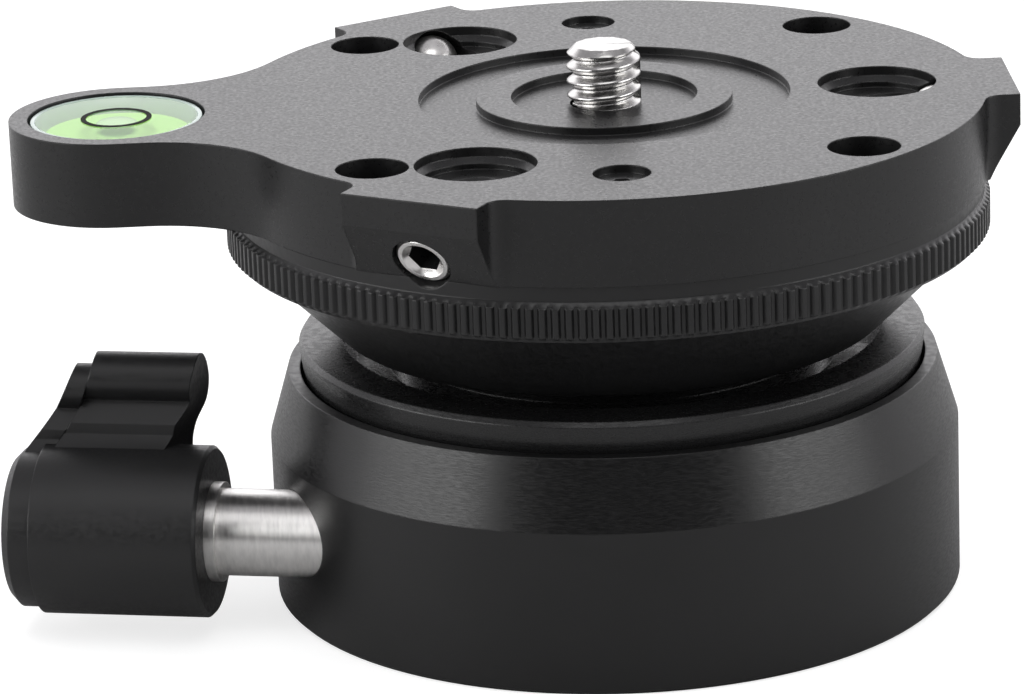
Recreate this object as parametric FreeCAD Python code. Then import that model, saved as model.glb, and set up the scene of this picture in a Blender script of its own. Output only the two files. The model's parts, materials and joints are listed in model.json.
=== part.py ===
import FreeCAD, Part
import math
import os

os.makedirs("parts", exist_ok=True)

V = FreeCAD.Vector

# Driving dimensions, mm. Z is the base axis, z = 0 the bottom face; the level's arm points to -X.
BASE_R = 30.0
BASE_CYL_H = 14.2
BASE_H = 20.2
BASE_TOP_R = 28.2
BORE_R = 26.75
SHOULDER_Z = 14.3

PIVOT_Z = 25.0
BALL_R = 27.3
SEAT_R = 27.6
BALL_TOP = 22.9
BALL_BOTTOM = 11.4
BALL_RIM_IN = 23.4
CAVITY_R = 13.5
NECK_R = 18.3
CONE_R = 23.9
CONE_Z = 24.0
CONE_TOP_R = 31.2

FLANGE_Z = 31.4
FLANGE_KNURL_TOP = 34.9
FLANGE_TOP = 36.2
KNURL_R = 32.6
LIP_R = 32.3

PLATE_TOP = 43.5
PLATE_R = 32.7
ARM_R = 9.2
ARM_X = -41.8
TAB_FACE = 35.0
TAB_HALF = 6.2
TAB_BEND_Z = 40.8
TAB_ANGLES = (0.0, 120.0, 240.0)
TAB_SLOPE = 30.0
GRUB_MOUTH_Z = 37.75
GRUB_R = 2.5
RECESS = 0.7
POCKET_PCR = 23.45
POCKET_R = 5.1
POCKET_DEPTH = 1.75

LEVEL_R = 7.55
LEVEL_BOTTOM = 38.6
STUD_R = 3.175
STUD_TAP_R = 2.6
STUD_TOP = 47.9

SOCKET_R = 3.97
SOCKET_DEPTH = 7.2
POST_R = 3.0
BUSH_SCREW_PCR = 8.55

KNOB_AZIMUTH = 167.8
SHAFT_OFFSET = 16.5
SHAFT_Z = 8.72
SHAFT_R = 3.75
HUB_START = 32.35
HUB_R = 7.4
HUB_LENGTH = 14.6
CAP_T = 2.6
WING_START = 1.3
CAM_R = 2.6
CAM_OFFSET = 0.15


def cyl(r, z0, z1, x=0.0, y=0.0):
    return Part.makeCylinder(r, z1 - z0, V(x, y, z0))


def ring(r_out, r_in, z0, z1, x=0.0, y=0.0):
    return cyl(r_out, z0, z1, x, y).cut(cyl(r_in, z0 - 1, z1 + 1, x, y))


def ball(r, z=PIVOT_Z):
    return Part.makeSphere(r, V(0, 0, z), V(0, 0, 1), -90, 90, 360)


def lathe(points):
    """Solid of revolution about Z from (radius, z) corners."""
    pts = [V(r, 0, z) for r, z in points]
    return Part.Face(Part.makePolygon(pts + [pts[0]])).revolve(V(0, 0, 0), V(0, 0, 1), 360)


def turned(shape, degrees):
    s = shape.copy()
    s.rotate(V(0, 0, 0), V(0, 0, 1), degrees)
    return s


def at_polar(make, radius, angles):
    return [make(radius * math.cos(math.radians(a)), radius * math.sin(math.radians(a))) for a in angles]


def flat_head_screw(x, y, head_z, length, r=1.25, head_r=2.4, up=True):
    """Countersunk screw with a hex socket; the head is at head_z and the shank points down, or up."""
    k = head_r - r
    d = -1 if up else 1
    s = Part.makeCone(head_r, r, k, V(x, y, head_z), V(0, 0, d))
    s = s.fuse(Part.makeCylinder(r, length - k, V(x, y, head_z + d * k), V(0, 0, d)))
    return s.cut(hex_prism(x, y, head_z, 0.9, 1.2 * d)).removeSplitter()


def screw_hole(x, y, head_z, length, r=1.25, head_r=2.4, up=True):
    k = head_r - r
    d = -1 if up else 1
    s = Part.makeCone(head_r, r, k, V(x, y, head_z), V(0, 0, d))
    s = s.fuse(Part.makeCylinder(r, length + 0.4, V(x, y, head_z), V(0, 0, d)))
    return s.fuse(Part.makeCylinder(head_r, 6, V(x, y, head_z), V(0, 0, -d)))


def hex_prism(x, y, z, r, dz):
    pts = [V(x + r * math.cos(math.pi * i / 3), y + r * math.sin(math.pi * i / 3), z) for i in range(7)]
    return Part.Face(Part.makePolygon(pts)).extrude(V(0, 0, dz))


def save(name, shape):
    if shape.ShapeType != "Compound":
        shape = shape.removeSplitter()
    assert shape.isValid(), name
    print(name, len(shape.Solids), "solids, mm3", round(shape.Volume, 1))
    shape.exportStep("parts/%s.step" % name)


# The knob's shaft line: distance s outward from the point nearest the base axis.
def along_shaft(shape):
    """Place a shape built along +X, from s = 0, onto the shaft line."""
    s = shape.copy()
    s.rotate(V(0, 0, 0), V(0, 0, 1), KNOB_AZIMUTH)
    a = math.radians(KNOB_AZIMUTH)
    s.translate(V(-SHAFT_OFFSET * math.sin(a), SHAFT_OFFSET * math.cos(a), SHAFT_Z))
    return s


def rod(r, s0, s1, dy=0.0, dz=0.0):
    return Part.makeCylinder(r, s1 - s0, V(s0, dy, dz), V(1, 0, 0))


# Base.
def base_housing():
    body = lathe([(0, 0), (BASE_R - 0.4, 0), (BASE_R, 0.4), (BASE_R, BASE_CYL_H), (BASE_TOP_R, BASE_H), (0, BASE_H)])
    body = body.cut(cyl(BORE_R, -1, SHOULDER_Z)).cut(ball(SEAT_R))
    body = body.cut(along_shaft(rod(SHAFT_R + 0.05, 15, 40)))
    x, y = retainer_xy()
    return body.cut(cyl(1.0, -1, SHAFT_Z, x, y))


def retainer_xy():
    a = math.radians(KNOB_AZIMUTH)
    s = 23.05
    return (s * math.cos(a) - SHAFT_OFFSET * math.sin(a), s * math.sin(a) + SHAFT_OFFSET * math.cos(a))


def bottom_plate():
    body = lathe([(0, 0), (BORE_R - 0.3, 0), (BORE_R, 0.3), (BORE_R, 3.3), (11.0, 3.3), (11.0, 5.5), (0, 5.5)])
    body = body.cut(cyl(11.0, -1, 2.0)).cut(cyl(6.2, -1, 10))
    for hole in at_polar(lambda x, y: screw_hole(x, y, 0.2, 4.6, head_r=2.2, up=False), BUSH_SCREW_PCR, (30, 150, 270)):
        body = body.cut(hole)
    for hole in at_polar(lambda x, y: cyl(1.2, -1, 2.0, x, y), 20.0, (60, 240)):
        body = body.cut(hole)
    return body


def bush_screws():
    return Part.makeCompound(at_polar(lambda x, y: flat_head_screw(x, y, 0.2, 4.6, head_r=2.2, up=False), BUSH_SCREW_PCR, (30, 150, 270)))


def tripod_bush():
    body = lathe([(0, 0), (11.0, 0), (11.0, 2.0), (6.2, 2.0), (6.2, 7.8), (0, 7.8)])
    body = body.cut(cyl(SOCKET_R, -1, SOCKET_DEPTH)).cut(cyl(POST_R, -1, 10))
    for hole in at_polar(lambda x, y: screw_hole(x, y, 0.2, 4.6, head_r=2.2, up=False), BUSH_SCREW_PCR, (30, 150, 270)):
        body = body.cut(hole)
    return body


def centre_post():
    """Stud that holds the ball down: shouldered on the bush, threaded for the nut."""
    return lathe([(0, SOCKET_DEPTH), (POST_R, SOCKET_DEPTH), (POST_R, 24.6), (POST_R - 0.4, 25), (0, 25)])


def shaft_retainer():
    x, y = retainer_xy()
    return cyl(1.0, 0.4, 5.5, x, y).cut(hex_prism(x, y, 0.4, 0.55, 1.2))


def ball_seat():
    body = cyl(BORE_R - 0.05, 7.6, 14.0).cut(ball(SEAT_R))
    cam_notch = Part.makeBox(13.2, 8.4, 2.95 + 4, V(8, -4.2, -4))
    shaft_notch = Part.makeBox(20, 8.4, 4.1 + 4, V(21.2, -4.2, -4))
    return body.cut(along_shaft(cam_notch)).cut(along_shaft(shaft_notch))


# Hold-down inside the ball: spherical washer, liner, wave spring, nut.
def cup_washer():
    body = ball(12.6).common(cyl(20, 0, 17.8))
    return body.cut(cyl(3.05, 0, 30)).cut(cyl(6.6, 15.6, 30))


def washer_liner():
    shell = ball(13.45).cut(ball(12.65)).common(cyl(20, 0, 16.6))
    return shell.cut(cyl(6.5, 0, 30))


def wave_spring():
    return ring(6.2, 3.6, 15.65, 16.9)


def post_nut():
    body = hex_prism(0, 0, 17.0, 6.0, 4.0)
    return body.cut(cyl(3.0, 10, 30)).cut(ring(8, 5.6, 20.4, 22))


# Moving head.
def half_ball():
    body = ball(BALL_R).common(cyl(40, BALL_BOTTOM, BALL_TOP))
    body = body.cut(lathe([(BALL_RIM_IN, 30), (BALL_RIM_IN, 21.6), (22.2, 20.4), (NECK_R + 1.2, 20.4), (NECK_R, 21.6), (NECK_R, 30)]))
    body = body.cut(lathe([(26.2, BALL_TOP + 1), (30, BALL_TOP + 1), (30, BALL_TOP - 0.5), (BALL_R - 0.1, BALL_TOP - 0.5)]))
    body = body.fuse(cyl(NECK_R, BALL_TOP - 3, FLANGE_Z))
    body = body.cut(ball(CAVITY_R)).cut(cyl(CAVITY_R, PIVOT_Z, 40))
    reach = lambda z: (PIVOT_Z - z) * math.tan(math.radians(21.2)) + 3.0 / math.cos(math.radians(21.2)) + 0.3
    body = body.cut(lathe([(0, 10), (reach(10), 10), (reach(16), 16), (0, 16)]))
    for hole in at_polar(lambda x, y: cyl(1.25, 26.0, 40, x, y), 15.3, (45, 135, 225, 315)):
        body = body.cut(hole)
    return body


def flange_ring():
    body = lathe([(0, CONE_Z), (CONE_R - 0.3, CONE_Z), (CONE_R, CONE_Z + 0.2), (CONE_TOP_R, FLANGE_Z), (KNURL_R - 0.5, FLANGE_Z),
                  (KNURL_R, FLANGE_Z + 0.4), (KNURL_R, FLANGE_KNURL_TOP - 0.3), (KNURL_R - 0.3, FLANGE_KNURL_TOP),
                  (LIP_R, FLANGE_KNURL_TOP), (LIP_R, FLANGE_TOP), (0, FLANGE_TOP)])
    body = body.cut(cyl(NECK_R, 20, FLANGE_Z)).cut(cyl(7.0, 30, 40))
    for hole in at_polar(lambda x, y: screw_hole(x, y, FLANGE_TOP - 0.3, 8.2), 15.3, (45, 135, 225, 315)):
        body = body.cut(hole)
    for hole in at_polar(lambda x, y: cyl(1.25, 30, 40, x, y), 24.9, (90, 270)):
        body = body.cut(hole)
    for a in TAB_ANGLES:
        body = body.cut(set_screw_bore(a))
    return body


def flange_screws():
    return Part.makeCompound(at_polar(lambda x, y: flat_head_screw(x, y, FLANGE_TOP - 0.3, 8.2), 15.3, (45, 135, 225, 315)))


def plate_outline():
    z0, z1 = FLANGE_TOP, PLATE_TOP
    body = cyl(PLATE_R, z0, z1)
    for a in TAB_ANGLES:
        body = body.fuse(turned(Part.makeBox(15, 2 * TAB_HALF, z1 - z0, V(TAB_FACE - 15, -TAB_HALF, z0)), a))
    body = body.fuse(Part.makeBox(-ARM_X, 2 * ARM_R, z1 - z0, V(ARM_X, -ARM_R, z0))).removeSplitter()
    edges_arm, edges_tab = [], []
    for e in body.Edges:
        b = e.BoundBox
        if b.ZLength < z1 - z0 - 0.1 or b.XLength > 0.01 or b.YLength > 0.01:
            continue
        r = math.hypot(b.XMin, b.YMin)
        if abs(r - PLATE_R) < 0.05:
            (edges_arm if abs(abs(b.YMin) - ARM_R) < 0.05 and b.XMin < -25 else edges_tab).append(e)
    body = body.makeFillet(12.0, edges_arm)
    again = []
    for e in body.Edges:
        b = e.BoundBox
        if b.ZLength > z1 - z0 - 0.1 and b.XLength < 0.01 and b.YLength < 0.01:
            for t in edges_tab:
                if abs(t.BoundBox.XMin - b.XMin) < 0.01 and abs(t.BoundBox.YMin - b.YMin) < 0.01:
                    again.append(e)
    body = body.makeFillet(1.6, again)
    return body.fuse(cyl(ARM_R, z0, z1, ARM_X, 0)).removeSplitter()


def tab_slope(a):
    """Wedge that takes the lower outer corner off a tab, square to the set screw."""
    drop = TAB_BEND_Z - FLANGE_TOP + 1
    pts = [V(TAB_FACE, 0, TAB_BEND_Z), V(TAB_FACE + 4, 0, TAB_BEND_Z), V(TAB_FACE + 4, 0, TAB_BEND_Z - drop),
           V(TAB_FACE - drop * math.tan(math.radians(TAB_SLOPE)), 0, TAB_BEND_Z - drop)]
    wedge = Part.Face(Part.makePolygon(pts + [pts[0]])).extrude(V(0, 2 * TAB_HALF + 3.0, 0))
    wedge.translate(V(0, -TAB_HALF - 1.5, 0))
    return turned(wedge, a)


def set_screw_axis(a):
    """Mouth point and inward direction, square to the tab's sloping face."""
    c, s = math.cos(math.radians(a)), math.sin(math.radians(a))
    slope = math.radians(TAB_SLOPE)
    r = TAB_FACE - (TAB_BEND_Z - GRUB_MOUTH_Z) * math.tan(slope)
    mouth = V(r * c, r * s, GRUB_MOUTH_Z)
    inward = V(-math.cos(slope) * c, -math.cos(slope) * s, math.sin(slope))
    return mouth, inward


def set_screw_bore(a):
    """Bore from below the tab up across the pocket; it grazes the rim of the knurled ring."""
    mouth, inward = set_screw_axis(a)
    return Part.makeCylinder(GRUB_R + 0.05, 18.2, mouth - inward * 4.0, inward)


def set_screw(a):
    mouth, inward = set_screw_axis(a)
    start = mouth + inward * 0.25
    body = Part.makeCylinder(GRUB_R, 5.1, start, inward).fuse(Part.makeSphere(GRUB_R, start + inward * 5.1))
    return body.cut(Part.makeCylinder(1.45, 2.4, start, inward))


def pocket(a):
    """Shallow stepped pocket in the plate's top; the set screw's bore runs out across its floor."""
    floor = PLATE_TOP - POCKET_DEPTH
    shape = lathe([(0, floor), (POCKET_R - 0.55, floor), (POCKET_R - 0.55, floor + 0.5), (POCKET_R, floor + 0.95),
                   (POCKET_R, 50), (0, 50)])
    shape.translate(V(POCKET_PCR, 0, 0))
    return turned(shape, a)


def top_plate():
    body = plate_outline()
    for a in TAB_ANGLES:
        body = body.cut(tab_slope(a))
        body = body.cut(set_screw_bore(a)).cut(pocket(a))
    body = body.cut(ring(15.95, 11.0, PLATE_TOP - RECESS, 50)).cut(cyl(8.0, PLATE_TOP - RECESS, 50))
    for x, y in at_polar(lambda x, y: (x, y), 28.6, (45, 135, 225, 315)):
        body = body.cut(cyl(3.05, 30, 50, x, y))
    for hole in at_polar(lambda x, y: screw_hole(x, y, PLATE_TOP - 0.7, 10.5), 24.9, (90, 270)):
        body = body.cut(hole)
    body = body.cut(cyl(LEVEL_R + 0.05, LEVEL_BOTTOM, 50, ARM_X, 0))
    return body.cut(cyl(STUD_TAP_R, 30, 50)).cut(cyl(5.0, 30, FLANGE_TOP + 2.5))


def platform_screws():
    return Part.makeCompound(at_polar(lambda x, y: flat_head_screw(x, y, PLATE_TOP - 0.7, 10.5), 24.9, (90, 270)))


def head_stud():
    """Screwed up through the plate: its hidden length is drawn at the tapped hole's radius."""
    shank = cyl(STUD_TAP_R, 34.0, PLATE_TOP - RECESS).fuse(cyl(5.0, 34.6, FLANGE_TOP + 2.5))
    tip = Part.makeCone(STUD_R, STUD_R - 0.7, 0.7, V(0, 0, STUD_TOP - 0.7))
    return shank.fuse(cyl(STUD_R, PLATE_TOP - RECESS, STUD_TOP - 0.7)).fuse(tip)


# Bubble level.
def level_vial():
    body = cyl(LEVEL_R, LEVEL_BOTTOM, PLATE_TOP - 0.15, ARM_X, 0)
    return body.cut(cyl(6.35, LEVEL_BOTTOM - 1, PLATE_TOP - 0.95, ARM_X, 0))


def level_backing():
    return cyl(6.35, LEVEL_BOTTOM, LEVEL_BOTTOM + 0.8, ARM_X, 0)


def level_fluid():
    return cyl(6.33, LEVEL_BOTTOM + 0.8, PLATE_TOP - 0.97, ARM_X, 0).cut(bubble_cut())


def bubble_cut():
    return cyl(1.5, PLATE_TOP - 1.6, 50, ARM_X - 0.3, -0.3)


def level_bubble():
    return cyl(1.48, PLATE_TOP - 1.58, PLATE_TOP - 0.99, ARM_X - 0.3, -0.3)


def level_ring():
    return ring(2.85, 2.6, PLATE_TOP - 0.15, PLATE_TOP - 0.1, ARM_X, 0)


# Clamp knob. Profile coordinates: t away from the photo's viewer, h above the shaft, s along it.
def spline(points):
    curve = Part.BSplineCurve()
    curve.interpolate(points)
    return curve.toShape()


def wing_profile(s):
    """Section of the wing: a bulged lip over a thumb step, leaning back from a narrow waist."""
    at = lambda pairs: [V(s, -t, h) for t, h in pairs]
    lip = spline(at([(2.5, 10.85), (1.8, 11.75), (1.6, 12.9), (2.3, 14.1), (3.7, 14.75), (5.3, 14.2), (6.4, 12.7)]))
    back = spline(at([(6.4, 12.7), (6.5, 11.4), (5.7, 9.9), (4.5, 8.7), (4.1, 7.6), (4.6, 5.4)]))
    root = spline(at([(-0.4, 7.3), (0.2, 7.7), (0.9, 8.3)]))
    step = Part.makePolygon(at([(0.9, 8.3), (0.9, 9.25), (2.5, 10.85)])).Edges
    close = Part.makePolygon(at([(4.6, 5.4), (0, 0), (-0.4, 7.3)])).Edges
    return Part.Face(Part.Wire([root] + step + [lip, back] + close))


def outer_end(shift):
    """Everything outboard of the knob's swept outer end, right across the knob."""
    swept = [(HUB_LENGTH, 5.2), (HUB_LENGTH - 0.5, 6.6), (13.2, 8.0), (12.3, 9.4), (11.4, 11.2), (10.8, 13.0), (10.3, 16.5)]
    at = lambda x, h: V(HUB_START + x, -16, h)
    curve = [at(x + shift * (1.0 - 0.045 * (h - 5.2)), h) for x, h in swept]
    straight = [curve[-1], at(40, 16.5), at(40, -12), at(HUB_LENGTH + shift, -12), curve[0]]
    return Part.Face(Part.Wire([spline(curve)] + Part.makePolygon(straight).Edges)).extrude(V(0, 32, 0))


def inner_end():
    """Slanted relief of the wing's end next to the base, deeper towards the viewer."""
    heights = [16.5, 13.8, 12.2, 10.6, 9.4, 8.0, 4.5]
    near = [1.3, 1.65, 2.05, 2.6, 3.3, 3.65, 3.9]
    far = [1.3, 1.35, 1.4, 1.45, 1.5, 1.6, 2.2]
    def wire(t):
        row = [n + (t - 0.4) * (f - n) / 5.6 for n, f in zip(near, far)]
        pts = [V(HUB_START + s, -t, h) for s, h in zip(row, heights)]
        back = [pts[-1], V(HUB_START - 8, -t, 4.5), V(HUB_START - 8, -t, 16.5), pts[0]]
        return Part.Wire([spline(pts)] + Part.makePolygon(back).Edges)
    return Part.makeLoft([wire(-3.5), wire(8.0)], True, True)


def wing(shift):
    body = wing_profile(HUB_START + WING_START).extrude(V(HUB_LENGTH + CAP_T, 0, 0))
    return body.cut(inner_end()).cut(outer_end(shift))


def chamfered_rod(r, s0, s1, c):
    body = rod(r, s0, s1 - c)
    return body.fuse(Part.makeCone(r, r - c, c, V(s1 - c, 0, 0), V(1, 0, 0)))


def knob_body():
    hub = rod(HUB_R, HUB_START + 0.3, HUB_START + HUB_LENGTH)
    hub = hub.fuse(Part.makeCone(HUB_R - 0.3, HUB_R, 0.3, V(HUB_START, 0, 0), V(1, 0, 0)))
    body = wing(0.0).fuse(hub).removeSplitter()
    return body.cut(rod(SHAFT_R, 0, HUB_START + 9.0)).cut(rod(1.5, 0, 60)).cut(rod(3.0, HUB_START + 10.9, 60))


def knob_cap():
    body = wing_profile(HUB_START + WING_START).extrude(V(HUB_LENGTH + CAP_T, 0, 0))
    m = FreeCAD.Matrix()
    m.scale(1.0, 0.93, 0.93)
    body = body.transformGeometry(m).common(outer_end(0.0)).cut(outer_end(CAP_T))
    disc = chamfered_rod(HUB_R * 0.93, HUB_START + HUB_LENGTH, HUB_START + HUB_LENGTH + CAP_T, 0.7)
    return body.fuse(disc).removeSplitter().cut(rod(HUB_R, 0, HUB_START + HUB_LENGTH))


def knob_screw():
    shank = rod(1.5, HUB_START + 1.0, HUB_START + 10.9)
    return shank.fuse(rod(2.7, HUB_START + 10.9, HUB_START + 13.9)).cut(rod(1.3, HUB_START + 12.3, HUB_START + 20))


def stop_slot():
    """Slot for the retaining screw, from underneath round to the back; its ends stop the knob."""
    start, end = -18.5, 108.5
    corner = lambda a, r: V(20, -r * math.sin(math.radians(a)), -r * math.cos(math.radians(a)))
    pts = [V(20, 0, 0), corner(start, 12), corner((start + end) / 2, 18), corner(end, 12), V(20, 0, 0)]
    sector = Part.Face(Part.makePolygon(pts)).extrude(V(10, 0, 0))
    return rod(10, 22.0, 24.1).cut(rod(3.05, 20, 30)).common(sector)


def clamp_shaft():
    body = rod(SHAFT_R, 21.3, HUB_START + 9.0).cut(stop_slot())
    body = body.fuse(rod(CAM_R, 18.4, 21.3, dy=CAM_OFFSET, dz=-CAM_OFFSET))
    return body.cut(rod(1.5, HUB_START + 1.0, 60))


def shaft_collar():
    return rod(4.3, HUB_START - 0.9, HUB_START).cut(rod(SHAFT_R, 0, 60))


if __name__ == "__main__":
    save("base_housing", base_housing())
    save("bottom_plate", bottom_plate())
    save("bush_screws", bush_screws())
    save("tripod_bush", tripod_bush())
    save("centre_post", centre_post())
    save("shaft_retainer", shaft_retainer())
    save("ball_seat", ball_seat())
    save("cup_washer", cup_washer())
    save("washer_liner", washer_liner())
    save("wave_spring", wave_spring())
    save("post_nut", post_nut())
    save("half_ball", half_ball())
    save("flange_ring", flange_ring())
    save("flange_screws", flange_screws())
    save("top_plate", top_plate())
    save("platform_screws", platform_screws())
    save("head_stud", head_stud())
    for number, angle in enumerate(TAB_ANGLES, 1):
        save("set_screw_%d" % number, set_screw(angle))
    save("level_vial", level_vial())
    save("level_backing", level_backing())
    save("level_fluid", level_fluid())
    save("level_bubble", level_bubble())
    save("level_ring", level_ring())
    save("knob_body", along_shaft(knob_body()))
    save("knob_cap", along_shaft(knob_cap()))
    save("knob_screw", along_shaft(knob_screw()))
    save("clamp_shaft", along_shaft(clamp_shaft()))
    save("shaft_collar", along_shaft(shaft_collar()))
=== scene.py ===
"""Tripod levelling head: materials, threads, knurl, bubble level and studio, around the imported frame."""
import json
import math

import bpy
from mathutils import Matrix, Vector


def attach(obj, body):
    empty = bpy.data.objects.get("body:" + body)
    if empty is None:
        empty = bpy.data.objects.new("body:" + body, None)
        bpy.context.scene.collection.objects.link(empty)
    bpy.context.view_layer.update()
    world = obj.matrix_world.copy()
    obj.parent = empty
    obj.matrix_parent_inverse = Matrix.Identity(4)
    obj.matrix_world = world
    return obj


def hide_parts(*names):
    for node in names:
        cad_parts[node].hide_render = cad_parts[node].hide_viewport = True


MM = 0.001
TAU = 2 * math.pi

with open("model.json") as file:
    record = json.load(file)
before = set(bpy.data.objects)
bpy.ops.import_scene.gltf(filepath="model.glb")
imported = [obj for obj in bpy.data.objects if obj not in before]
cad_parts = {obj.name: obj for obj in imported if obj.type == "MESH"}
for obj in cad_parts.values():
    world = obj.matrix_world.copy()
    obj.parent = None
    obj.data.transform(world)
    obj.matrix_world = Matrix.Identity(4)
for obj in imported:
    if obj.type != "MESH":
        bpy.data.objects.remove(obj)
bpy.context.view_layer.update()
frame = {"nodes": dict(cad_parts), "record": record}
nodes = frame["nodes"]

# Sizes repeated from the solids, mm.
STUD_R, STUD_TOP, STUD_PITCH = 3.175, 47.9, 1.27
SHANK_R = 2.6
RECESS_Z = 42.8
KNURL_R, KNURL_Z0, KNURL_Z1 = 32.6, 31.75, 34.65
LEVEL_X = -41.8
TAB_FACE, TAB_BEND_Z, TAB_SLOPE, GRUB_MOUTH_Z = 35.0, 40.8, math.radians(30), 37.75

# Sizes of the dress alone, mm.
KNURL_RIBS, KNURL_DEPTH, KNURL_LAP = 188, 0.34, 0.15
THREAD_DEPTH, STUD_CHAMFER = 0.62, 0.75
GRUB_R, GRUB_BODY, SOCKET_R, GRUB_INSET = 2.46, 5.1, 1.46, 0.25
LID_Z = 43.27
TIP = 0.01


def collect(name, verts, faces, material):
    """Object from vertices in mm, smooth except at sharp edges."""
    mesh = bpy.data.meshes.new(name)
    mesh.from_pydata([tuple(c * MM for c in v) for v in verts], [], faces)
    mesh.validate()
    mesh.update()
    obj = bpy.data.objects.new(name, mesh)
    bpy.context.scene.collection.objects.link(obj)
    if material:
        mesh.materials.append(material)
    mesh.shade_smooth()
    mesh.set_sharp_from_angle(angle=math.radians(35))
    return obj


def grid_faces(rows, cols, flip=False):
    """Quads between closed rows of vertices."""
    faces = []
    for i in range(rows - 1):
        for j in range(cols):
            k = (j + 1) % cols
            f = (i * cols + j, i * cols + k, (i + 1) * cols + k, (i + 1) * cols + j)
            faces.append(tuple(reversed(f)) if flip else f)
    return faces


def ring(radius, z, segments):
    return [(radius * math.cos(TAU * j / segments), radius * math.sin(TAU * j / segments), z)
            for j in range(segments)]


def lathe(name, profile, material, segments=96, place=None, cap=True):
    """Revolve (radius, z) points about Z; place moves the result, in mm."""
    verts = [v for r, z in profile for v in ring(r, z, segments)]
    faces = grid_faces(len(profile), segments)
    if cap:
        faces.append(tuple(reversed(range(segments))))
        faces.append(tuple(range((len(profile) - 1) * segments, len(profile) * segments)))
    if place is not None:
        verts = [tuple(place @ Vector(v)) for v in verts]
    return collect(name, verts, faces, material)


# Materials.
def new_material(name):
    m = bpy.data.materials.new(name)
    m.use_nodes = True
    nt = m.node_tree
    bsdf = nt.nodes["Principled BSDF"]
    return m, nt, bsdf


def noise(nt, scale, detail=3.0, stretch=(1, 1, 1)):
    tc = nt.nodes.new("ShaderNodeTexCoord")
    mp = nt.nodes.new("ShaderNodeMapping")
    mp.inputs["Scale"].default_value = stretch
    n = nt.nodes.new("ShaderNodeTexNoise")
    n.inputs["Scale"].default_value = scale
    n.inputs["Detail"].default_value = detail
    nt.links.new(tc.outputs["Object"], mp.inputs["Vector"])
    nt.links.new(mp.outputs["Vector"], n.inputs["Vector"])
    return n


def map_range(nt, source, a, b, low, high, kind="SMOOTHSTEP"):
    r = nt.nodes.new("ShaderNodeMapRange")
    r.interpolation_type = kind
    for key, value in (("From Min", a), ("From Max", b), ("To Min", low), ("To Max", high)):
        r.inputs[key].default_value = value
    nt.links.new(source, r.inputs["Value"])
    return r.outputs["Result"]


def ramp(nt, source, low, high):
    """Spread the middle of a noise over low to high."""
    return map_range(nt, source, 0.35, 0.65, low, high, "LINEAR")


def two_tone(nt, bsdf, source, dark, light):
    """Base colour that drifts between two shades with a noise."""
    mix = nt.nodes.new("ShaderNodeMix")
    mix.data_type = "RGBA"
    mix.inputs[6].default_value = tuple(dark) + (1,)
    mix.inputs[7].default_value = tuple(light) + (1,)
    nt.links.new(ramp(nt, source, 0.0, 1.0), mix.inputs[0])
    nt.links.new(mix.outputs[2], bsdf.inputs["Base Color"])


def bump(nt, bsdf, height, strength, distance, bevel):
    """Fine relief over edges that the shading rounds off by the bevel's radius, both in metres."""
    b = nt.nodes.new("ShaderNodeBump")
    b.inputs["Strength"].default_value = strength
    b.inputs["Distance"].default_value = distance
    nt.links.new(height, b.inputs["Height"])
    v = nt.nodes.new("ShaderNodeBevel")
    v.samples = 6
    v.inputs["Radius"].default_value = bevel
    nt.links.new(v.outputs["Normal"], b.inputs["Normal"])
    nt.links.new(b.outputs["Normal"], bsdf.inputs["Normal"])


def anodised(name, shade, rough, grain, strength, stretch=(1, 1, 1)):
    """Black anodised metal: a dark base under a clear, slightly rough skin."""
    m, nt, bsdf = new_material(name)
    fine = noise(nt, grain, 2.0, stretch)
    broad = noise(nt, 70.0, 4.0)
    two_tone(nt, bsdf, broad.outputs["Fac"], (shade * 0.85, shade * 0.85, shade * 0.88),
             (shade * 1.2, shade * 1.2, shade * 1.24))
    nt.links.new(ramp(nt, fine.outputs["Fac"], rough - 0.06, rough + 0.06), bsdf.inputs["Roughness"])
    bsdf.inputs["IOR"].default_value = 1.5
    bump(nt, bsdf, fine.outputs["Fac"], strength, 0.00003, 0.00018)
    return m


def steel(name, shade, rough, grain=900.0, strength=0.2, stretch=(1, 1, 1)):
    """Bare steel with a faint warm tint."""
    tint = (1.0, 0.985, 0.965)
    m, nt, bsdf = new_material(name)
    fine = noise(nt, grain, 3.0, stretch)
    bsdf.inputs["Metallic"].default_value = 1.0
    two_tone(nt, bsdf, fine.outputs["Fac"], [shade * 0.9 * c for c in tint],
             [min(1, shade * 1.08) * c for c in tint])
    nt.links.new(ramp(nt, fine.outputs["Fac"], rough - 0.06, rough + 0.06), bsdf.inputs["Roughness"])
    bump(nt, bsdf, fine.outputs["Fac"], strength, 0.00002, 0.0001)
    return m


def turned_finish(material, axis, amount):
    """Fine turning marks round an axis, which spread reflections along it."""
    nt = material.node_tree
    bsdf = nt.nodes["Principled BSDF"]
    tangent = nt.nodes.new("ShaderNodeTangent")
    tangent.direction_type = "RADIAL"
    tangent.axis = axis
    nt.links.new(tangent.outputs["Tangent"], bsdf.inputs["Tangent"])
    bsdf.inputs["Anisotropic"].default_value = amount
    bsdf.inputs["Anisotropic Rotation"].default_value = 0.25


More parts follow.
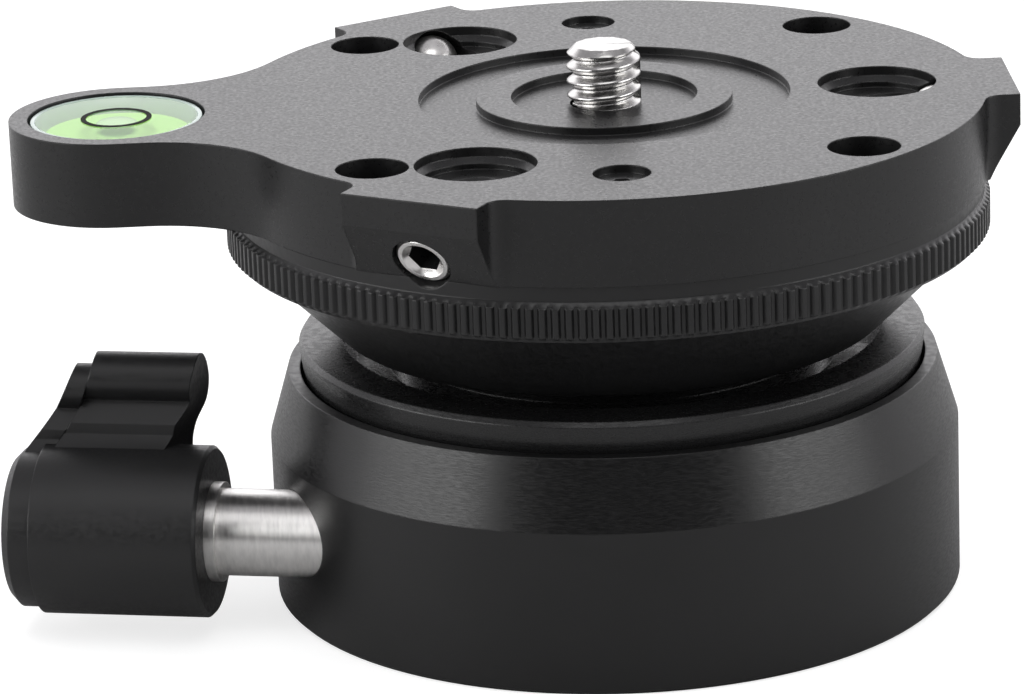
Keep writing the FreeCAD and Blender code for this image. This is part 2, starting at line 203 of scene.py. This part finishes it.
def clear_lid(name, tint, ior, rough):
    """Thin clear cover: straight through, with a mirror reflection by Fresnel."""
    m, nt, bsdf = new_material(name)
    nt.nodes.remove(bsdf)
    through = nt.nodes.new("ShaderNodeBsdfTransparent")
    through.inputs["Color"].default_value = tuple(tint) + (1,)
    gloss = nt.nodes.new("ShaderNodeBsdfGlossy")
    gloss.inputs["Roughness"].default_value = rough
    fresnel = nt.nodes.new("ShaderNodeFresnel")
    fresnel.inputs["IOR"].default_value = ior
    mixer = nt.nodes.new("ShaderNodeMixShader")
    nt.links.new(fresnel.outputs["Fac"], mixer.inputs["Fac"])
    nt.links.new(through.outputs["BSDF"], mixer.inputs[1])
    nt.links.new(gloss.outputs["BSDF"], mixer.inputs[2])
    nt.links.new(mixer.outputs["Shader"], nt.nodes["Material Output"].inputs["Surface"])
    return m


def plastic(name, color, rough, transmission=0.0, ior=1.45, shine=0.5):
    m, nt, bsdf = new_material(name)
    fine = noise(nt, 500.0)
    low = max(0.0, rough - 0.03)
    nt.links.new(ramp(nt, fine.outputs["Fac"], low, rough + 0.03), bsdf.inputs["Roughness"])
    bsdf.inputs["Base Color"].default_value = tuple(color) + (1,)
    bsdf.inputs["Transmission Weight"].default_value = transmission
    bsdf.inputs["IOR"].default_value = ior
    bsdf.inputs["Specular IOR Level"].default_value = shine
    return m


plate_black = anodised("plate_black", 0.008, 0.33, 3200.0, 0.12)
base_black = anodised("base_black", 0.006, 0.34, 1500.0, 0.2, (1, 1, 6))
ball_black = anodised("ball_black", 0.010, 0.28, 1500.0, 0.12, (1, 1, 6))
ring_black = anodised("ring_black", 0.009, 0.34, 2000.0, 0.2)
knob_black = anodised("knob_black", 0.010, 0.40, 2600.0, 0.07)
# Black oxide finish for the black steel parts; in the grub screws it also serves as painted shade inside the
# hex sockets.
oxide_and_socket_shade = anodised("black_oxide_and_socket_shade", 0.012, 0.32, 1500.0, 0.2)
shaft_steel = steel("shaft_steel", 0.92, 0.42, 700.0, 0.06, (4, 1, 1))
turned_finish(shaft_steel, "X", 0.8)
stud_steel = steel("stud_steel", 0.58, 0.24)
bright_steel = steel("bright_steel", 0.86, 0.30)
plain_steel = steel("plain_steel", 0.55, 0.32)
spring_steel = steel("spring_steel", 0.45, 0.35)
acetal = plastic("acetal", (0.8, 0.79, 0.74), 0.45)
clear = plastic("clear_acrylic", (0.97, 0.99, 0.96), 0.04, 1.0, 1.35)
green = plastic("level_green", (0.46, 0.77, 0.24), 0.6, shine=0.15)
green_back = plastic("level_back", (0.66, 0.85, 0.3), 0.5)
air = plastic("level_air", (0.55, 0.74, 0.46), 0.12)
cup_wall = plastic("level_cup_wall", (0.42, 0.50, 0.47), 0.12)
lid_glass = clear_lid("level_lid_glass", (0.97, 1.0, 0.96), 1.38, 0.03)
ink = plastic("level_ink", (0.012, 0.012, 0.012), 0.6, shine=0.05)

FINISH = {
    "anodised_base": base_black, "anodised_ball": ball_black, "anodised_ring": ring_black,
    "anodised_plate": plate_black, "anodised_knob": knob_black, "black_steel": oxide_and_socket_shade,
    "steel": plain_steel, "stainless": shaft_steel, "spring_steel": spring_steel, "polymer": acetal,
    "level_clear": clear, "level_white": green_back, "level_green": green, "level_air": air,
    "level_black": ink,
}
# Every solid gets the finish of its slot.
for part in frame["record"]["subparts"]:
    obj = nodes[part["node"]]
    obj.data.materials.clear()
    obj.data.materials.append(FINISH[part["material_slot"]])


def knurl():
    """Straight-knurled band: each rib is a trapezium that fades out at both ends of the band."""
    z_rows = [(KNURL_Z0 - 0.25, -KNURL_LAP), (KNURL_Z0, 0.0), (KNURL_Z0 + 0.2, KNURL_DEPTH),
              (KNURL_Z1 - 0.2, KNURL_DEPTH), (KNURL_Z1, 0.0), (KNURL_Z1 + 0.2, -KNURL_LAP)]
    shape = [(0.0, 0.0), (0.22, 1.0), (0.58, 1.0), (0.80, 0.0)]
    cols = KNURL_RIBS * len(shape)
    verts = []
    for z, proud in z_rows:
        for rib in range(KNURL_RIBS):
            for u, h in shape:
                a = TAU * (rib + u) / KNURL_RIBS
                r = KNURL_R - 0.05 + (proud * h if proud > 0 else proud)
                verts.append((r * math.cos(a), r * math.sin(a), z))
    obj = collect("knurl_band", verts, grid_faces(len(z_rows), cols), ring_black)
    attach(obj, "head")


def thread_radius(u):
    """Radius at a share u of the pitch: crest, flank, root, flank."""
    crest, root, flank = 0.14, 0.52, 0.38
    u %= 1.0
    if u < crest:
        return STUD_R
    if u < root:
        return STUD_R - THREAD_DEPTH * (u - crest) / flank
    if u < 1.0 - flank:
        return STUD_R - THREAD_DEPTH
    return STUD_R - THREAD_DEPTH * (1.0 - u) / flank


def stud():
    """Head stud: a helical thread clamped between its ends, above the hidden shank and flange."""
    seg, sub = 72, 12
    z0, z1 = RECESS_Z, STUD_TOP
    rows = int((z1 - z0) / STUD_PITCH * sub) + 2 * sub
    verts = []
    for k in range(-sub, rows + 1):
        for j in range(seg):
            a = TAU * j / seg
            z = z0 + STUD_PITCH * (k / sub + j / seg)
            r = thread_radius(k / sub)
            zc = min(max(z, z0), z1)
            r = min(r, STUD_R - STUD_CHAMFER + z1 - zc)
            if z > z1:
                r = min(r, STUD_R - STUD_CHAMFER) * max(0.0, 1 - (z - z1) / STUD_PITCH)
            if z < z0:
                r = SHANK_R + (r - SHANK_R) * max(0.0, 1 - (z0 - z) / STUD_PITCH)
            verts.append((r * math.cos(a), r * math.sin(a), zc))
    rings = rows + sub + 1
    for r, z in ((SHANK_R, 38.7), (4.9, 38.65), (4.9, 34.7), (SHANK_R, 34.6), (SHANK_R, 34.1), (TIP, 34.1)):
        verts[:0] = ring(r, z, seg)
        rings += 1
    obj = collect("stud_thread", verts, grid_faces(rings, seg), stud_steel)
    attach(obj, "head")
    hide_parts("head_stud")


def grub_place(angle):
    """Frame of a grub screw: x across, y up the sloping face, z inward from the mouth."""
    a = math.radians(angle)
    c, s = math.cos(a), math.sin(a)
    inward = Vector((-math.cos(TAB_SLOPE) * c, -math.cos(TAB_SLOPE) * s, math.sin(TAB_SLOPE)))
    side = Vector((-s, c, 0))
    place = Matrix((side, inward.cross(side), inward)).transposed().to_4x4()
    r = TAB_FACE - (TAB_BEND_Z - GRUB_MOUTH_Z) * math.tan(TAB_SLOPE)
    place.translation = Vector((r * c, r * s, GRUB_MOUTH_Z))
    return place


def grub(number, angle):
    """Grub screw from the bottom of its hex socket, over the end face, to the domed tip."""
    place = grub_place(angle)
    seg, shaded_socket_bands = 48, 3
    hexed = [(1.2, 2.3), (SOCKET_R, 2.25), (SOCKET_R, 0.42)]
    rows = [(TIP, 2.75)] + hexed + [(1.74, 0.12), (1.82, 0.0), (2.16, 0.0), (GRUB_R, 0.32), (GRUB_R, GRUB_BODY)]
    turns = [math.pi / 2 * i / 9 for i in range(1, 9)]
    rows += [(GRUB_R * math.cos(t), GRUB_BODY + GRUB_R * math.sin(t)) for t in turns]
    rows.append((TIP, GRUB_BODY + GRUB_R))
    verts = []
    for row in rows:
        for j in range(seg):
            t = TAU * j / seg
            r = row[0]
            if row in hexed:
                r *= math.cos(math.pi / 6) / math.cos((t % (TAU / 6)) - math.pi / 6)
            verts.append(tuple(place @ Vector((r * math.cos(t), r * math.sin(t), row[1] + GRUB_INSET))))
    obj = collect("grub_screw_%d" % number, verts, grid_faces(len(rows), seg, flip=True), bright_steel)
    # The socket's faces take the black oxide finish as painted shade in the hex recess; the screw itself is
    # bright steel.
    obj.data.materials.append(oxide_and_socket_shade)
    for face in obj.data.polygons[:shaded_socket_bands * seg]:
        face.material_index = 1
    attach(obj, "grub_%d" % number)
    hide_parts("set_screw_%d" % number)


def centred(name, profile, material, segments=96, cap=False):
    place = Matrix.Translation((LEVEL_X, 0, 0))
    return lathe(name, profile, material, segments, place, cap)


def level():
    """Bubble level, its floor at the depth at which it appears through the fluid."""
    wall = [(6.2, 38.65), (7.42, 38.65), (7.42, 43.12), (7.32, 43.3), (7.02, 43.34), (6.92, 43.26),
            (6.2, 42.02)]
    cup = centred("level_cup", wall + wall[:1], cup_wall)
    disc = centred("level_disc", [(6.19, 38.7), (6.19, 42.05), (TIP, 42.05)], green, cap=True)
    lid = centred("level_lid", [(6.93, LID_Z), (TIP, LID_Z)], lid_glass)
    edge = [(2.6, 43.3), (3.04, 43.3), (3.04, 43.35), (2.6, 43.35)]
    mark = centred("level_mark", edge + edge[:1], ink, 64)
    turns = (1.57, 1.25, 0.95, 0.65, 0.35, 0.02)
    dome = [(1.75 * math.sin(t), 42.82 + 0.36 * math.cos(t)) for t in turns]
    bubble = centred("level_bubble_dome", dome, air, 48)
    for obj, slot, hidden in (
        (cup, "level_clear", ("level_vial",)),
        (disc, "level_green", ("level_fluid", "level_backing")),
        (lid, "level_clear", ()),
        (mark, "level_black", ("level_ring",)),
        (bubble, "level_air", ("level_bubble",)),
    ):
        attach(obj, "head")
        if hidden:
            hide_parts(*hidden)


knurl()
stud()
for n, ang in enumerate((0, 120, 240), 1):
    grub(n, ang)
level()


# Studio, in metres.
def area_light(name, location, size, size_y, radiance):
    """Soft box aimed at the part, given by the radiance that a mirror would show."""
    target = (0, 0, 0.02)
    data = bpy.data.lights.new(name, "AREA")
    data.shape = "RECTANGLE"
    data.size = size
    data.size_y = size_y
    data.energy = radiance * math.pi * data.size * data.size_y
    obj = bpy.data.objects.new(name, data)
    bpy.context.scene.collection.objects.link(obj)
    obj.location = location
    obj.rotation_euler = (Vector(target) - Vector(location)).to_track_quat("-Z", "Y").to_euler()
    return obj


def math_node(nt, kind, a, b):
    m = nt.nodes.new("ShaderNodeMath")
    m.operation = kind
    for i, v in enumerate((a, b)):
        if isinstance(v, float):
            m.inputs[i].default_value = v
        else:
            nt.links.new(v, m.inputs[i])
    return m.outputs[0]


def room():
    """White wall behind and a dim room in front, seen in reflections; the camera sees white everywhere."""
    world = bpy.data.worlds.new("studio")
    bpy.context.scene.world = world
    world.use_nodes = True
    nt = world.node_tree
    walls = nt.nodes["Background"]
    walls.inputs["Strength"].default_value = 1.0
    tc = nt.nodes.new("ShaderNodeTexCoord")
    split = nt.nodes.new("ShaderNodeSeparateXYZ")
    nt.links.new(tc.outputs["Generated"], split.inputs[0])
    behind = map_range(nt, split.outputs["Y"], -0.25, 0.35, 0.0, 1.0)
    below = map_range(nt, split.outputs["Z"], 0.48, 0.8, 1.0, 0.0)
    ceiling = map_range(nt, split.outputs["Z"], 0.25, 0.85, 0.02, 0.45)
    total = math_node(nt, "MAXIMUM", math_node(nt, "MULTIPLY", behind, below), ceiling)
    tint = nt.nodes.new("ShaderNodeVectorMath")
    tint.operation = "SCALE"
    tint.inputs[0].default_value = (0.985, 0.965, 1.0)
    nt.links.new(total, tint.inputs["Scale"])
    nt.links.new(tint.outputs["Vector"], walls.inputs["Color"])
    seen = nt.nodes.new("ShaderNodeBackground")
    seen.inputs["Color"].default_value = (1, 1, 1, 1)
    path = nt.nodes.new("ShaderNodeLightPath")
    mixer = nt.nodes.new("ShaderNodeMixShader")
    nt.links.new(path.outputs["Is Camera Ray"], mixer.inputs["Fac"])
    nt.links.new(walls.outputs["Background"], mixer.inputs[1])
    nt.links.new(seen.outputs["Background"], mixer.inputs[2])
    nt.links.new(mixer.outputs["Shader"], nt.nodes["World Output"].inputs["Surface"])


def white_floor():
    """Floor that the camera sees white, with a shadow; reflections show it dark in front and pale behind."""
    floor = lathe("studio_floor", [(0.1, 0.0), (6000.0, 0.0)], None, 64, cap=False)
    m, nt, bsdf = new_material("floor_white")
    bsdf.inputs["Base Color"].default_value = (0.4, 0.4, 0.4, 1)
    bsdf.inputs["Roughness"].default_value = 0.9
    bsdf.inputs["Specular IOR Level"].default_value = 0.1
    bsdf.inputs["Emission Color"].default_value = (1, 1, 1, 1)
    path = nt.nodes.new("ShaderNodeLightPath")
    place = nt.nodes.new("ShaderNodeTexCoord")
    axes = nt.nodes.new("ShaderNodeSeparateXYZ")
    nt.links.new(place.outputs["Object"], axes.inputs[0])
    lit = map_range(nt, axes.outputs["Y"], 0.0, 0.35, 0.0, 0.6)
    mirrored = math_node(nt, "MAXIMUM", path.outputs["Is Glossy Ray"], path.outputs["Is Transmission Ray"])
    shown = math_node(nt, "MULTIPLY", path.outputs["Is Camera Ray"], 0.72)
    shown = math_node(nt, "MAXIMUM", shown, math_node(nt, "MULTIPLY", mirrored, lit))
    nt.links.new(shown, bsdf.inputs["Emission Strength"])
    floor.data.materials.append(m)


def lamps():
    """Soft boxes placed by what the black surfaces reflect in the photograph."""
    area_light("left_box", (-0.84, -0.31, 0.29), 0.78, 0.36, 4.9)
    area_light("right_box", (0.84, -0.36, 0.29), 0.72, 0.36, 4.2)
    area_light("front_top", (0.0, -0.55, 0.95), 0.7, 0.5, 1.5)
    area_light("back_wall_box", (0.0, 1.2, 0.60), 2.8, 0.8, 0.9)
    # Evens out what matt colours get from above; reflections don't show it.
    fill = area_light("matt_fill", (0.0, 0.0, 1.4), 1.4, 1.4, 2.2)
    fill.visible_glossy = False


def camera():
    """Camera at the photograph's place, from a fit to its circles: angles, distance and focal length."""
    elev, roll, turn = math.radians(17.83), math.radians(-2.126), math.radians(-1.7)
    dist, focal_px, width_px, sensor_mm = 0.45116, 5183.96, 1024, 36.0
    target = Vector((-0.008694, 0.0, 0.02101))
    forward = Vector((0, math.cos(elev), -math.sin(elev)))
    right = Vector((1, 0, 0))
    up = right.cross(forward)
    r2 = right * math.cos(roll) + up * math.sin(roll)
    u2 = up * math.cos(roll) - right * math.sin(roll)
    rot = Matrix((r2, u2, -forward)).transposed().to_4x4()
    rot.translation = target - forward * dist
    data = bpy.data.cameras.new("photo_camera")
    data.sensor_width = sensor_mm
    data.sensor_fit = "HORIZONTAL"
    data.lens = focal_px / width_px * sensor_mm
    data.clip_start = 0.01
    data.clip_end = 50
    obj = bpy.data.objects.new("photo_camera", data)
    bpy.context.scene.collection.objects.link(obj)
    obj.matrix_world = Matrix.Rotation(turn, 4, "Z") @ rot
    bpy.context.scene.camera = obj


room()
white_floor()
lamps()
camera()
bpy.context.scene.view_settings.view_transform = "Standard"
